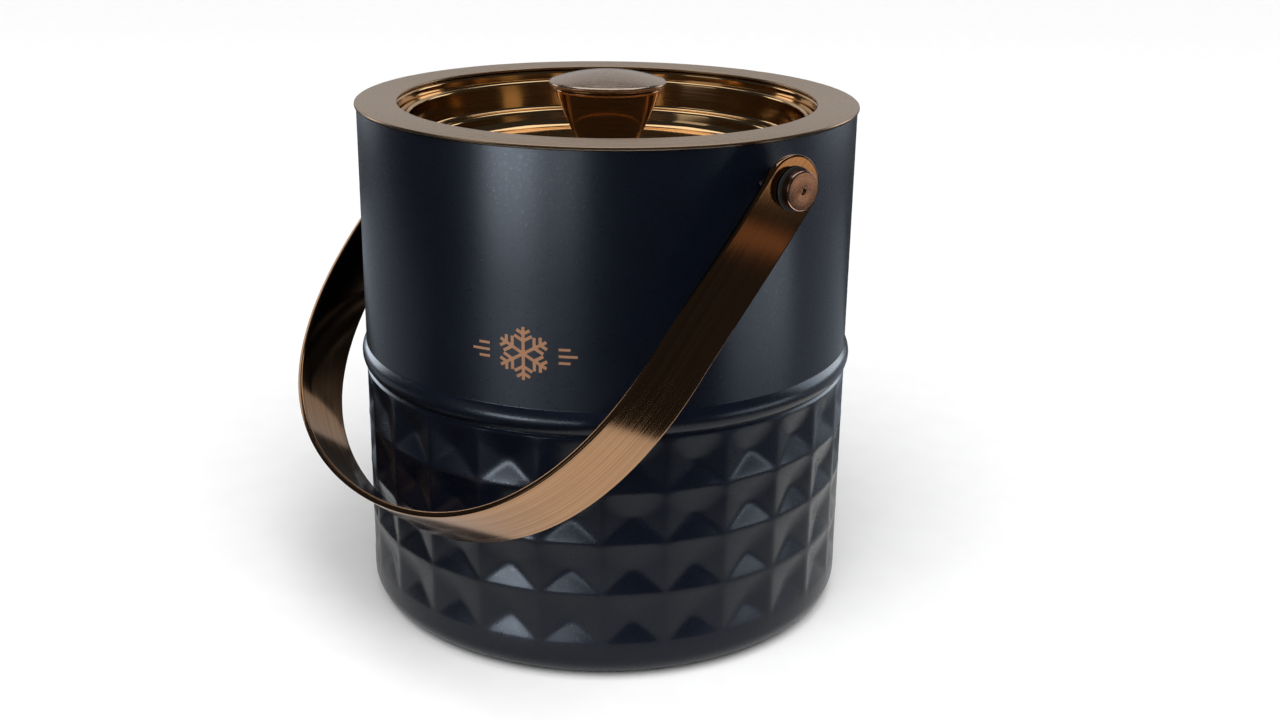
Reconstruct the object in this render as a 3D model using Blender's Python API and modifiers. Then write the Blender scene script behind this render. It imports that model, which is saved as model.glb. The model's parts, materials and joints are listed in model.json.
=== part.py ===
"""Double-wall ice bucket with a dished lift-off lid and a swinging strap handle.

The resting plane is z = 0 and the bucket's axis is Z. The handle turns about an axis
along X at PIVOT_HEIGHT and hangs towards -Y. All lengths are metres.
"""
import math

import bmesh
import bpy
from mathutils import Matrix

# Bucket
HEIGHT = 0.196              # resting plane to the top of the rim ring
RIM_RADIUS = 0.095
OPENING_RADIUS = 0.0792
RIM_SHEET = 0.0012
RIM_SKIRT = 0.0045          # locating skirt that hangs inside the shell
UPPER_RADIUS = 0.0942       # smooth upper wall, outside
SHELL_SHEET = 0.0007
LINER_SHEET = 0.0006
LINER_FLOOR = 0.014
LINER_RADIUS = 0.0772       # inside, just below the lid's ledge
LINER_TAPER = 0.0018
LINER_CORNER = 0.009
LEDGE_HEIGHT = 0.1874       # ledge that the lid's seal rests on
EDGE_ROLL = 0.0012          # rolled edges of the liner and the lid
GAP = 0.0003                # left between pieces that touch

# Swaged bead and embossed band of the shell
BEAD_RADIUS = 0.0959
BEAD_HEIGHT = 0.0998
BEAD_HALF_WIDTH = 0.0043
GROOVE_DEPTH = 0.0009       # under the bead, from the ridges' radius
RIDGE_RADIUS = 0.0945       # borders of the embossed cells
EMBOSS_BOTTOM = 0.0145
EMBOSS_TOP = 0.094
EMBOSS_ROWS = 4
EMBOSS_COLUMNS = 26
EMBOSS_DEPTH = 0.0026       # middle of a cell, inwards from its borders
EMBOSS_TURN = math.radians(-1.4)    # a cell's middle, from +X

# Base
SHELL_FOOT = 0.0008         # underside of the shell above the resting plane
BASE_CORNER = 0.008
BASE_OPENING = 0.0705
PAD_THICKNESS = 0.0015
BASE_PLATE_RADIUS = 0.0845
BASE_SHEET = 0.0008
BASE_DISH_RADIUS = 0.040    # raised middle of the base plate
BASE_DISH_RISE = 0.0015

# Lid
LID_RADIUS = 0.0787
LID_SHEET = 0.0006
LID_EDGE_TOP = 0.1912
LID_WALL_RADIUS = 0.0748    # top of the pan's wall, inside
LID_WALL_FOOT = 0.0741
LID_WALL_ROUND = 0.0015
LID_STEP_RADIUS = 0.0708    # inner edge of the step round the floor
LID_STEP_HEIGHT = 0.1798
LID_STEP_ROUND = 0.0020
LID_FLAT_RADIUS = 0.0660    # where the floor starts to turn up
LID_CORNER = 0.004
LID_FLOOR = 0.1725
LID_DISC_RADIUS = 0.032
LID_DISC_RISE = 0.0008
PLUG_RADIUS = 0.0766
PLUG_TOP = 0.1870
PLUG_BOTTOM = 0.165
PLUG_CORNER = 0.004
SEAL_HEIGHT = 0.001

# Knob
CAP_RADIUS = 0.0223
CAP_EDGE = 0.202            # height of the cap's widest line
CAP_TOP = 0.2064
CAP_BOTTOM = 0.2006
STEM_TOP_RADIUS = 0.0206
STEM_WAIST_RADIUS = 0.0104
STEM_WAIST_RISE = 0.0030    # waist above the stem's foot
STEM_FOOT_RADIUS = 0.0118
STEM_FOOT_EDGE = 0.0012
STEM_BEVEL = 0.0008
SPIGOT_RADIUS = 0.008
SPIGOT_LENGTH = 0.0035
SCREW_RADIUS = 0.0022
SCREW_HEAD_RADIUS = 0.0048
SCREW_HEAD_HEIGHT = 0.0024
DRIVER_SLOT = (0.0052, 0.0010)      # length and width of each slot of the cross
SCREW_TIP = 0.188           # height of the screw's upper end
WASHER_RADIUS = 0.008
WASHER_SHEET = 0.0007

# Handle and pivots
PIVOT_HEIGHT = 0.1812
REST_ANGLE = math.radians(39.9)     # handle from straight down, towards -Y
STRAP_WIDTH = 0.0226
STRAP_SHEET = 0.0023
STRAP_INSIDE = 0.1044       # inner face of each eye from the bucket's axis
STRAP_DROP = 0.1627         # pivot axis to the middle of the strap's low run
STRAP_BEND_START = 0.070    # where the straight arm ends, below the axis
STRAP_LEAN = 0.0013         # how far an arm leans in over its straight length
STRAP_ARM_PULL = 0.0755     # bend's handle along the arm
STRAP_BASE_PULL = 0.0442    # bend's handle along the low run
EYE_STRAIGHT = 0.014        # stretch of an arm square to its pivot
SPACER_RADIUS = 0.005
STUD_RADIUS = 0.0024
STUD_HEAD_RADIUS = 0.0068
STUD_HEAD_HEIGHT = 0.0035
STUD_BEVEL = 0.0006
DIMPLE_RADIUS = 0.0012      # in the middle of each stud's head
DIMPLE_DEPTH = 0.0008
STUD_END = 0.0865           # inner end of each stud from the bucket's axis
CLEARANCE_HOLE = 0.0028
PIVOT_WASHER_RADIUS = 0.0076
PIVOT_WASHER_SHEET = 0.0006
BACKING_RADIUS = 0.009
BACKING_SHEET = 0.0012
NUT_FLATS = 0.008
NUT_HEIGHT = 0.0034

SHELL_STEPS = 2 * EMBOSS_COLUMNS    # faces around the shell, two to a cell
STEPS = 40                  # faces around the other large pieces
CAP_STEPS = 32
SMALL_STEPS = 20

FINISHES = {
    "black_powder_coat": ((0.012, 0.014, 0.020), 0.38, 0.0),
    "satin_rose_bronze": ((0.52, 0.40, 0.32), 0.32, 1.0),
    "polished_copper": ((0.72, 0.44, 0.24), 0.12, 1.0),
    "brushed_bronze": ((0.55, 0.34, 0.20), 0.28, 1.0),
    "turned_copper": ((0.62, 0.40, 0.33), 0.22, 1.0),
    "plain_steel": ((0.55, 0.55, 0.56), 0.35, 1.0),
    "black_rubber": ((0.02, 0.02, 0.02), 0.85, 0.0),
    "clear_silicone": ((0.62, 0.60, 0.56), 0.55, 0.0),
    "black_nylon": ((0.03, 0.03, 0.03), 0.5, 0.0),
    "white_foam": ((0.82, 0.82, 0.80), 0.9, 0.0),
}


def start_scene():
    for item in list(bpy.data.objects):
        bpy.data.objects.remove(item, do_unlink=True)
    groups = {}
    for name in ("ice_bucket", "cutters"):
        groups[name] = bpy.data.collections.new(name)
        bpy.context.scene.collection.children.link(groups[name])
    return groups


def finish_materials():
    made = {}
    for name, (colour, roughness, metallic) in FINISHES.items():
        material = bpy.data.materials.new(name)
        material.use_nodes = True
        shader = material.node_tree.nodes["Principled BSDF"]
        shader.inputs["Base Color"].default_value = (*colour, 1.0)
        shader.inputs["Roughness"].default_value = roughness
        shader.inputs["Metallic"].default_value = metallic
        made[name] = material
    return made


GROUPS = start_scene()
MATERIALS = finish_materials()


def empty(name, location, rotation=(0.0, 0.0, 0.0)):
    item = bpy.data.objects.new(name, None)
    item.location = location
    item.rotation_euler = rotation
    item.empty_display_size = 0.02
    GROUPS["ice_bucket"].objects.link(item)
    return item


def place(name, mesh, finish, parent=None):
    item = bpy.data.objects.new(name, mesh)
    mesh.materials.append(MATERIALS[finish])
    item.parent = parent
    GROUPS["ice_bucket"].objects.link(item)
    return item


def outline_mesh(name, points, closed):
    """Edges through (radius, height) points in the XZ plane."""
    edges = [(i, i + 1) for i in range(len(points) - 1)]
    if closed:
        edges.append((len(points) - 1, 0))
    mesh = bpy.data.meshes.new(name)
    mesh.from_pydata([(r, 0.0, z) for r, z in points], edges, [])
    return mesh


def turned(name, points, finish, parent=None, steps=STEPS, closed=False):
    """A solid turned about Z; its outline runs down its outer side."""
    item = place(name, outline_mesh(name, points, closed), finish, parent)
    screw = item.modifiers.new("turn", "SCREW")
    screw.steps = steps
    screw.render_steps = steps
    screw.merge_threshold = 0.00001
    screw.use_merge_vertices = True
    return item


def sheet(item, thickness):
    """Gives an open surface its thickness, on the side that its normals point away from."""
    wall = item.modifiers.new("sheet", "SOLIDIFY")
    wall.thickness = thickness
    wall.offset = -1.0
    wall.use_even_offset = True


def ring(name, inner, outer, low, high, finish, parent=None, steps=STEPS):
    points = [(outer, high), (outer, low), (inner, low), (inner, high)]
    return turned(name, points, finish, parent, steps, closed=True)


def arc(centre, radius, start, end, segments):
    """Points along an arc in the outline's plane; the angles are degrees."""
    angles = [math.radians(start + (end - start) * i / segments) for i in range(segments + 1)]
    return [(centre[0] + radius * math.cos(a), centre[1] + radius * math.sin(a)) for a in angles]


def bake(item):
    """Replaces an object's data with the mesh that its modifiers make."""
    bpy.context.view_layer.update()
    graph = bpy.context.evaluated_depsgraph_get()
    mesh = bpy.data.meshes.new_from_object(item.evaluated_get(graph))
    mesh.name = item.name
    item.modifiers.clear()
    item.data = mesh


def cutter(name, mesh, parent=None):
    item = bpy.data.objects.new(name, mesh)
    item.parent = parent
    item.hide_render = True
    item.display_type = "WIRE"
    GROUPS["cutters"].objects.link(item)
    return item


def drill(name, radius, length, centre_height, parent=None):
    """A cutter along the parent's Z axis."""
    mesh = bpy.data.meshes.new(name)
    shape = bmesh.new()
    bmesh.ops.create_cone(shape, cap_ends=True, segments=SMALL_STEPS, radius1=radius, radius2=radius,
                          depth=length, matrix=Matrix.Translation((0.0, 0.0, centre_height)))
    shape.to_mesh(mesh)
    shape.free()
    return cutter(name, mesh, parent)


def boolean(item, tool, operation="DIFFERENCE"):
    step = item.modifiers.new(tool.name, "BOOLEAN")
    step.object = tool
    step.operation = operation
    step.solver = "EXACT"


def shell_outline():
    """Outer face of the shell, from under the rim ring to the opening in its foot."""
    bulge = BEAD_RADIUS - UPPER_RADIUS
    bead_arc = (BEAD_HALF_WIDTH ** 2 + bulge ** 2) / (2 * bulge)
    half_angle = math.degrees(math.asin(BEAD_HALF_WIDTH / bead_arc))
    bead_centre = (BEAD_RADIUS - bead_arc, BEAD_HEIGHT)
    groove = (RIDGE_RADIUS - GROOVE_DEPTH, BEAD_HEIGHT - BEAD_HALF_WIDTH - GROOVE_DEPTH / 2)
    points = [(UPPER_RADIUS, HEIGHT - RIM_SHEET - GAP)]
    points += arc(bead_centre, bead_arc, half_angle, -half_angle, 6)
    points += [groove]
    levels = 2 * EMBOSS_ROWS
    for i in range(levels + 1):
        points.append((RIDGE_RADIUS, EMBOSS_TOP + (EMBOSS_BOTTOM - EMBOSS_TOP) * i / levels))
    corner = (RIDGE_RADIUS - BASE_CORNER, SHELL_FOOT + BASE_CORNER)
    points += arc(corner, BASE_CORNER, 0, -90, 4)
    points += [(BASE_OPENING, SHELL_FOOT)]
    return points


def relief(angle, height):
    """Depth of the four-sided hollow pressed into each cell."""
    across = (angle * EMBOSS_COLUMNS / (2 * math.pi) + 0.5) % 1.0 * 2 - 1
    row = (height - EMBOSS_BOTTOM) * EMBOSS_ROWS / (EMBOSS_TOP - EMBOSS_BOTTOM)
    if not 0.0 < row < EMBOSS_ROWS:
        return 0.0
    up = row % 1.0 * 2 - 1
    return EMBOSS_DEPTH * (1 - max(abs(across), abs(up)))


def emboss(mesh):
    """Presses the cells in, and folds each face from its cell's middle to its corner."""
    shape = bmesh.new()
    shape.from_mesh(mesh)
    middles = []
    for vert in shape.verts:
        radius = math.hypot(vert.co.x, vert.co.y)
        depth = relief(math.atan2(vert.co.y, vert.co.x), vert.co.z)
        if depth > EMBOSS_DEPTH / 2:
            middles.append(vert)
            vert.co.x *= 1 - depth / radius
            vert.co.y *= 1 - depth / radius
    for vert in middles:
        for face in list(vert.link_faces):
            corners = list(face.verts)
            opposite = corners[(corners.index(vert) + 2) % len(corners)]
            bmesh.utils.face_split(face, vert, opposite)
    shape.to_mesh(mesh)
    shape.free()


def outer_shell(drills):
    item = turned("outer_shell", shell_outline(), "black_powder_coat", steps=SHELL_STEPS)
    item.rotation_euler.z = EMBOSS_TURN
    bake(item)
    emboss(item.data)
    sheet(item, SHELL_SHEET)
    for tool in drills:
        boolean(item, tool)


def rim_ring():
    low = HEIGHT - RIM_SHEET
    edge = RIM_SHEET / 2
    skirt = UPPER_RADIUS - SHELL_SHEET - 0.0005
    points = arc((RIM_RADIUS - edge, HEIGHT - edge), edge, 90, -90, 3)
    points += [(skirt, low), (skirt, low - RIM_SKIRT)]
    points += [(skirt - 0.0008, low - RIM_SKIRT), (skirt - 0.0008, low)]
    points += arc((OPENING_RADIUS + edge, HEIGHT - edge), edge, 270, 90, 3)
    turned("rim_ring", points, "satin_rose_bronze", closed=True)


def inner_liner():
    floor_radius = LINER_RADIUS - LINER_TAPER
    ledge_outer = OPENING_RADIUS + 0.0001
    flange = HEIGHT - RIM_SHEET - GAP
    corner = (floor_radius - LINER_CORNER, LINER_FLOOR + LINER_CORNER)
    points = [(0.0, LINER_FLOOR)]
    points += arc(corner, LINER_CORNER, -90, 0, 4)
    points += [(LINER_RADIUS, LEDGE_HEIGHT - 0.001), (LINER_RADIUS + 0.0004, LEDGE_HEIGHT)]
    points += [(ledge_outer - 0.0003, LEDGE_HEIGHT), (ledge_outer, LEDGE_HEIGHT + 0.0006)]
    points += arc((ledge_outer + EDGE_ROLL, flange - EDGE_ROLL), EDGE_ROLL, 180, 90, 2)
    points += [(UPPER_RADIUS - SHELL_SHEET - 0.0025, flange)]
    sheet(turned("inner_liner", points, "polished_copper"), LINER_SHEET)


def base_pieces():
    plate_low = SHELL_FOOT + SHELL_SHEET + GAP
    plate_high = plate_low + BASE_SHEET
    slope_end = BASE_DISH_RADIUS + 2 * BASE_DISH_RISE
    points = [(0.0, plate_high + BASE_DISH_RISE), (BASE_DISH_RADIUS, plate_high + BASE_DISH_RISE)]
    points += [(slope_end, plate_high), (BASE_PLATE_RADIUS, plate_high)]
    points += [(BASE_PLATE_RADIUS, plate_low), (slope_end + GAP, plate_low)]
    points += [(BASE_DISH_RADIUS + GAP, plate_low + BASE_DISH_RISE), (0.0, plate_low + BASE_DISH_RISE)]
    turned("base_plate", points, "plain_steel")
    pad_radius = BASE_OPENING - 2 * GAP
    points = [(0.0, PAD_THICKNESS), (pad_radius, PAD_THICKNESS)]
    points += [(pad_radius, 0.0005), (pad_radius - 0.0005, 0.0), (0.0, 0.0)]
    turned("base_pad", points, "black_rubber")


def lid_pan_outline():
    """Upper face of the lid's pan, from its screw hole out to its rolled edge."""
    disc = LID_FLOOR + LID_DISC_RISE
    corner = (LID_FLAT_RADIUS, LID_FLOOR + LID_CORNER)
    step_edge = (LID_STEP_RADIUS + LID_STEP_ROUND, LID_STEP_HEIGHT - LID_STEP_ROUND)
    wall_foot = (LID_WALL_FOOT - LID_WALL_ROUND, LID_STEP_HEIGHT + LID_WALL_ROUND)
    roll = LID_EDGE_TOP - EDGE_ROLL
    points = [(CLEARANCE_HOLE, disc), (LID_DISC_RADIUS, disc), (LID_DISC_RADIUS + 0.001, LID_FLOOR)]
    points += arc(corner, LID_CORNER, -90, -12, 3)
    points += arc(step_edge, LID_STEP_ROUND, 168, 96, 2)
    points += arc(wall_foot, LID_WALL_ROUND, -84, -8, 2)
    points += [(LID_WALL_RADIUS, LID_EDGE_TOP - 0.0020)]
    points += arc((LID_WALL_RADIUS + EDGE_ROLL, roll), EDGE_ROLL, 170, 90, 2)
    points += arc((LID_RADIUS - EDGE_ROLL, roll), EDGE_ROLL, 90, 0, 2)
    return points


def plug_outline():
    """Inner face of the lid's underside, from its screw hole out and up."""
    corner = (PLUG_RADIUS - LID_SHEET - PLUG_CORNER, PLUG_BOTTOM + LID_SHEET + PLUG_CORNER)
    points = [(CLEARANCE_HOLE, PLUG_BOTTOM + LID_SHEET)]
    points += arc(corner, PLUG_CORNER, -90, 0, 3)
    points += [(PLUG_RADIUS - LID_SHEET, PLUG_TOP)]
    return points


def lid_pieces(parent):
    sheet(turned("lid_pan", lid_pan_outline(), "polished_copper", parent), LID_SHEET)
    sheet(turned("lid_underside", plug_outline(), "polished_copper", parent), LID_SHEET)
    foam_low = PLUG_BOTTOM + LID_SHEET + GAP
    foam_high = LID_FLOOR - LID_SHEET - GAP
    ring("lid_insulation", 0.006, 0.0650, foam_low, foam_high, "white_foam", parent)
    seal_low = LEDGE_HEIGHT + GAP
    ring("lid_seal", PLUG_RADIUS + 2 * GAP, LID_RADIUS - GAP, seal_low, seal_low + SEAL_HEIGHT,
         "clear_silicone", parent)


def knob_stem(parent):
    foot = LID_FLOOR + LID_DISC_RISE + GAP
    top = CAP_BOTTOM - GAP
    bore_top = SCREW_TIP + 2 * GAP
    socket = SPIGOT_RADIUS + GAP
    socket_floor = top - SPIGOT_LENGTH - 2 * GAP
    points = [(0.0, socket_floor), (socket, socket_floor), (socket, top)]
    points += [(STEM_TOP_RADIUS - STEM_BEVEL, top), (STEM_TOP_RADIUS, top - STEM_BEVEL)]
    points += [(STEM_WAIST_RADIUS, foot + STEM_WAIST_RISE), (STEM_FOOT_RADIUS, foot + STEM_FOOT_EDGE)]
    points += [(STEM_FOOT_RADIUS, foot), (SCREW_RADIUS + GAP, foot)]
    points += [(SCREW_RADIUS + GAP, bore_top), (0.0, bore_top)]
    turned("knob_stem", points, "polished_copper", parent, CAP_STEPS)


def knob_cap(parent):
    dome_rise = CAP_TOP - CAP_EDGE - 0.0007
    dome_reach = CAP_RADIUS - 0.0003
    dome_arc = (dome_reach ** 2 + dome_rise ** 2) / (2 * dome_rise)
    edge_angle = 90 - math.degrees(math.asin(dome_reach / dome_arc))
    points = arc((0.0, CAP_TOP - dome_arc), dome_arc, 90, edge_angle, 5)
    points += [(CAP_RADIUS, CAP_EDGE), (CAP_RADIUS - 0.0006, CAP_EDGE - 0.0010)]
    points += [(CAP_RADIUS - 0.0016, CAP_BOTTOM), (SPIGOT_RADIUS, CAP_BOTTOM)]
    points += [(SPIGOT_RADIUS, CAP_BOTTOM - SPIGOT_LENGTH), (0.0, CAP_BOTTOM - SPIGOT_LENGTH)]
    turned("knob_cap", points, "satin_rose_bronze", parent, CAP_STEPS)


def knob_fixings(parent):
    washer_high = PLUG_BOTTOM - GAP
    washer_low = washer_high - WASHER_SHEET
    ring("knob_washer", CLEARANCE_HOLE, WASHER_RADIUS, washer_low, washer_high, "plain_steel",
         parent, SMALL_STEPS)
    head_top = washer_low - GAP
    head_low = head_top - SCREW_HEAD_HEIGHT
    points = [(0.0, SCREW_TIP), (SCREW_RADIUS - 0.0005, SCREW_TIP)]
    points += [(SCREW_RADIUS, SCREW_TIP - 0.0005), (SCREW_RADIUS, head_top)]
    points += [(SCREW_HEAD_RADIUS, head_top), (SCREW_HEAD_RADIUS, head_low + 0.0010)]
    points += [(SCREW_HEAD_RADIUS - 0.0012, head_low), (0.0, head_low)]
    screw = turned("knob_screw", points, "plain_steel", parent, SMALL_STEPS)
    slot = bpy.data.meshes.new("driver_slots")
    shape = bmesh.new()
    for turn in (0.0, math.pi / 2):
        size = Matrix.Diagonal((*DRIVER_SLOT, SCREW_HEAD_HEIGHT, 1.0))
        spot = Matrix.Translation((0.0, 0.0, head_low)) @ Matrix.Rotation(turn, 4, "Z")
        bmesh.ops.create_cube(shape, size=1.0, matrix=spot @ size)
    shape.to_mesh(slot)
    shape.free()
    tool = cutter("driver_slots", slot, parent)
    boolean(screw, tool)
    screw.modifiers[-1].use_self = True


def pivot_pieces(side, parent):
    """One side's pivot stack, along the parent's Z axis out from the bucket's own axis."""
    strap_outside = STRAP_INSIDE + STRAP_SHEET
    washer_low = strap_outside + GAP
    head_low = washer_low + PIVOT_WASHER_SHEET + GAP
    head_top = head_low + STUD_HEAD_HEIGHT
    dimple_floor = head_top - DIMPLE_DEPTH
    points = [(0.0, dimple_floor), (DIMPLE_RADIUS - 0.0002, dimple_floor), (DIMPLE_RADIUS, head_top)]
    points += [(STUD_HEAD_RADIUS - STUD_BEVEL, head_top), (STUD_HEAD_RADIUS, head_top - STUD_BEVEL)]
    points += [(STUD_HEAD_RADIUS, head_low), (STUD_RADIUS, head_low)]
    points += [(STUD_RADIUS, STUD_END + STUD_BEVEL), (STUD_RADIUS - STUD_BEVEL, STUD_END), (0.0, STUD_END)]
    turned(side + "_pivot_stud", points, "turned_copper", parent, SMALL_STEPS)
    ring(side + "_pivot_washer", CLEARANCE_HOLE, PIVOT_WASHER_RADIUS, washer_low,
         washer_low + PIVOT_WASHER_SHEET, "black_nylon", parent, SMALL_STEPS)
    ring(side + "_pivot_spacer", CLEARANCE_HOLE, SPACER_RADIUS, UPPER_RADIUS + GAP,
         STRAP_INSIDE - GAP, "turned_copper", parent, SMALL_STEPS)
    backing_high = UPPER_RADIUS - SHELL_SHEET - 0.0008
    backing_low = backing_high - BACKING_SHEET
    ring(side + "_backing_washer", CLEARANCE_HOLE, BACKING_RADIUS, backing_low, backing_high,
         "plain_steel", parent, SMALL_STEPS)
    nut_high = backing_low - GAP
    nut_middle = nut_high - NUT_HEIGHT / 2
    mesh = bpy.data.meshes.new(side + "_pivot_nut")
    shape = bmesh.new()
    bmesh.ops.create_cone(shape, cap_ends=True, segments=6, radius1=NUT_FLATS / math.sqrt(3),
                          radius2=NUT_FLATS / math.sqrt(3), depth=NUT_HEIGHT,
                          matrix=Matrix.Translation((0.0, 0.0, nut_middle)))
    shape.to_mesh(mesh)
    shape.free()
    nut = place(side + "_pivot_nut", mesh, "plain_steel", parent)
    boolean(nut, drill(side + "_nut_bore", CLEARANCE_HOLE, 3 * NUT_HEIGHT, nut_middle, parent))


def strap_curve(parent):
    """The strap's middle line as a flat ribbon; its arms run down the curve's -Y."""
    eye = STRAP_INSIDE + STRAP_SHEET / 2
    arm = eye - STRAP_LEAN
    third = (STRAP_BEND_START - EYE_STRAIGHT) / 3
    # Each point is its place, then the pull of its handle towards the next one down the arm.
    right_side = [
        ((eye, STRAP_WIDTH), (0.0, -STRAP_WIDTH / 3)),
        ((eye, -EYE_STRAIGHT), (0.0, -third)),
        ((arm, -STRAP_BEND_START), (0.0, -STRAP_ARM_PULL)),
        ((0.0, -STRAP_DROP), (-STRAP_BASE_PULL, 0.0)),
    ]
    before = [STRAP_WIDTH / 3, (STRAP_WIDTH + EYE_STRAIGHT) / 3, third]
    stations = []
    for (spot, pull), back in zip(right_side[:3], before):
        stations.append((spot, (spot[0], spot[1] + back), (spot[0] + pull[0], spot[1] + pull[1])))
    low, low_pull = right_side[3]
    stations.append((low, (low[0] - low_pull[0], low[1]), (low[0] + low_pull[0], low[1])))
    for spot, left, right in reversed(stations[:3]):
        stations.append(((-spot[0], spot[1]), (-right[0], right[1]), (-left[0], left[1])))
    curve = bpy.data.curves.new("handle_strap", "CURVE")
    curve.dimensions = "3D"
    curve.twist_mode = "Z_UP"
    curve.resolution_u = 10
    curve.extrude = STRAP_WIDTH / 2
    spline = curve.splines.new("BEZIER")
    spline.bezier_points.add(len(stations) - 1)
    for point, (spot, left, right) in zip(spline.bezier_points, stations):
        point.co = (*spot, 0.0)
        point.handle_left = (*left, 0.0)
        point.handle_right = (*right, 0.0)
    ribbon = bpy.data.objects.new("strap_ribbon", curve)
    ribbon.parent = parent
    GROUPS["ice_bucket"].objects.link(ribbon)
    return ribbon


def eye_outline(parent):
    """A block along X whose side view is the strap's: round about the axis, straight below."""
    mesh = bpy.data.meshes.new("eye_outline")
    shape = bmesh.new()
    round_end = arc((0.0, 0.0), STRAP_WIDTH / 2, 0, 180, 16)
    low = -STRAP_DROP - STRAP_WIDTH
    reach = STRAP_INSIDE + STRAP_WIDTH
    side_view = [(STRAP_WIDTH / 2, low)] + round_end + [(-STRAP_WIDTH / 2, low)]
    verts = [shape.verts.new((-reach, y, z)) for z, y in side_view]
    face = shape.faces.new(verts)
    sides = bmesh.ops.extrude_face_region(shape, geom=[face])
    moved = [part for part in sides["geom"] if isinstance(part, bmesh.types.BMVert)]
    bmesh.ops.translate(shape, verts=moved, vec=(2 * reach, 0.0, 0.0))
    bmesh.ops.recalc_face_normals(shape, faces=shape.faces)
    shape.to_mesh(mesh)
    shape.free()
    return cutter("eye_outline", mesh, parent)


def handle_strap(parent, drills):
    ribbon = strap_curve(parent)
    route = ribbon.data
    bpy.context.view_layer.update()
    graph = bpy.context.evaluated_depsgraph_get()
    mesh = bpy.data.meshes.new_from_object(ribbon.evaluated_get(graph))
    bpy.data.objects.remove(ribbon)
    bpy.data.curves.remove(route)
    mesh.name = "handle_strap"
    item = place("handle_strap", mesh, "brushed_bronze", parent)
    wall = item.modifiers.new("sheet", "SOLIDIFY")
    wall.thickness = STRAP_SHEET
    wall.offset = 0.0
    wall.use_even_offset = True
    boolean(item, eye_outline(parent), "INTERSECT")
    for tool in drills:
        boolean(item, tool)


def build():
    handle_pivot = empty("handle_pivot", (0.0, 0.0, PIVOT_HEIGHT),
                         (math.pi / 2 - REST_ANGLE, 0.0, 0.0))
    lid_lift = empty("lid_lift", (0.0, 0.0, 0.0))
    shell_drills = []
    strap_drills = []
    for side, turn in (("right", math.pi / 2), ("left", -math.pi / 2)):
        stack = empty(side + "_pivot_axis", (0.0, 0.0, PIVOT_HEIGHT), (0.0, turn, 0.0))
        pivot_pieces(side, stack)
        shell_drills.append(drill(side + "_shell_hole", CLEARANCE_HOLE, 0.008, UPPER_RADIUS, stack))
        strap_drills.append(drill(side + "_eye_hole", CLEARANCE_HOLE, 0.010, STRAP_INSIDE, stack))
    outer_shell(shell_drills)
    rim_ring()
    inner_liner()
    base_pieces()
    lid_pieces(lid_lift)
    knob_stem(lid_lift)
    knob_cap(lid_lift)
    knob_fixings(lid_lift)
    handle_strap(handle_pivot, strap_drills)


build()
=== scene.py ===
"""Finishes, fine meshes, floor, lights and camera for the packed ice bucket."""

import json
import math

import bpy
from mathutils import Matrix, Vector


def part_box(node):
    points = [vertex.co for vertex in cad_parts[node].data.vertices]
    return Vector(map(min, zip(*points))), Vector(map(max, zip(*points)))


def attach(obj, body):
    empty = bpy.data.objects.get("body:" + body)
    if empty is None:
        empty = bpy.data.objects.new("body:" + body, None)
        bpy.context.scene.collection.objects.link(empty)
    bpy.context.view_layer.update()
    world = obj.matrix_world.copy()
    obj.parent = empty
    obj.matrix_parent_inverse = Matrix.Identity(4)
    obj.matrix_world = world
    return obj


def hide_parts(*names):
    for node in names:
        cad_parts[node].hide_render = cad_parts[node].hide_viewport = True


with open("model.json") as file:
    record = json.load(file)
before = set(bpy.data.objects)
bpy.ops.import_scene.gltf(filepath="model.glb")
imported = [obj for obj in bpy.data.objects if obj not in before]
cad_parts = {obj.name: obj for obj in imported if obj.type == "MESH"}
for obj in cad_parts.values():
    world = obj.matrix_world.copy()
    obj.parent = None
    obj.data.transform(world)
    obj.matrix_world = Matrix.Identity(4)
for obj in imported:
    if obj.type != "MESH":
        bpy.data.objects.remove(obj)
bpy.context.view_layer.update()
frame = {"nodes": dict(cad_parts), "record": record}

# Outer shell, in metres
UPPER_RADIUS = 0.0942       # smooth wall
BEAD_HEIGHT = 0.0998
BEAD_HALF_WIDTH = 0.0043
BEAD_CREASE = 0.0007        # rounding where the bead leaves the wall
RIDGE_RADIUS = 0.0945       # borders of the embossed cells
GROOVE_DEPTH = 0.0009
EMBOSS_BOTTOM = 0.0145
EMBOSS_TOP = 0.094
EMBOSS_ROWS = 4
EMBOSS_COLUMNS = 26
EMBOSS_DEPTH = 0.0026
EMBOSS_TURN = math.radians(-1.4)
CREST_ROUND = 0.12          # these four are shares of half a cell
LOW_FOLD = 0.12
HIGH_FOLD = 0.50            # the upper folds are soft, so that the cell's top is a scoop
MIDDLE_ROUND = 0.07
EMBOSS_LAND = 0.0005        # plain edge over the cells, which the groove's rounding takes up
BASE_CORNER = 0.008
BASE_OPENING = 0.0705
SHELL_SHEET = 0.0007

# Base pad
PAD_RINGS = 5
PAD_EDGE = 0.0004           # bevel at the rim, and the slope of each ring's sides
PAD_RING_DEPTH = 0.0005
PAD_RING_WIDTH = 0.0028

# Rim, liner and lid
RIM_SHEET = 0.0012
RIM_EDGE = 0.00054          # rounding of the ring's edges
SKIRT_GAP = 0.0005          # from the shell's inside to the ring's skirt
SKIRT_SHEET = 0.0008
OPENING_RADIUS = 0.0792
SHEET = 0.0006
LINER_RADIUS = 0.0772
LINER_TAPER = 0.0018
LINER_CORNER = 0.009
LEDGE_HEIGHT = 0.1874
LEDGE_ROUND = 0.0008
LEDGE_FOLD = 0.0004
LEDGE_GAP = 0.0001          # from the ledge's upright to the rim ring's opening
EDGE_ROLL = 0.0012
LID_WALL_RADIUS = 0.0748
LID_WALL_FOOT = 0.0741
LID_STEP_RADIUS = 0.0708
LID_STEP_HEIGHT = 0.1798
LID_STEP_ROUND = 0.0018
LID_STEP_LEAN = 0.0010
LID_WALL_ROUND = 0.0013
LID_CORNER = 0.004
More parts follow.
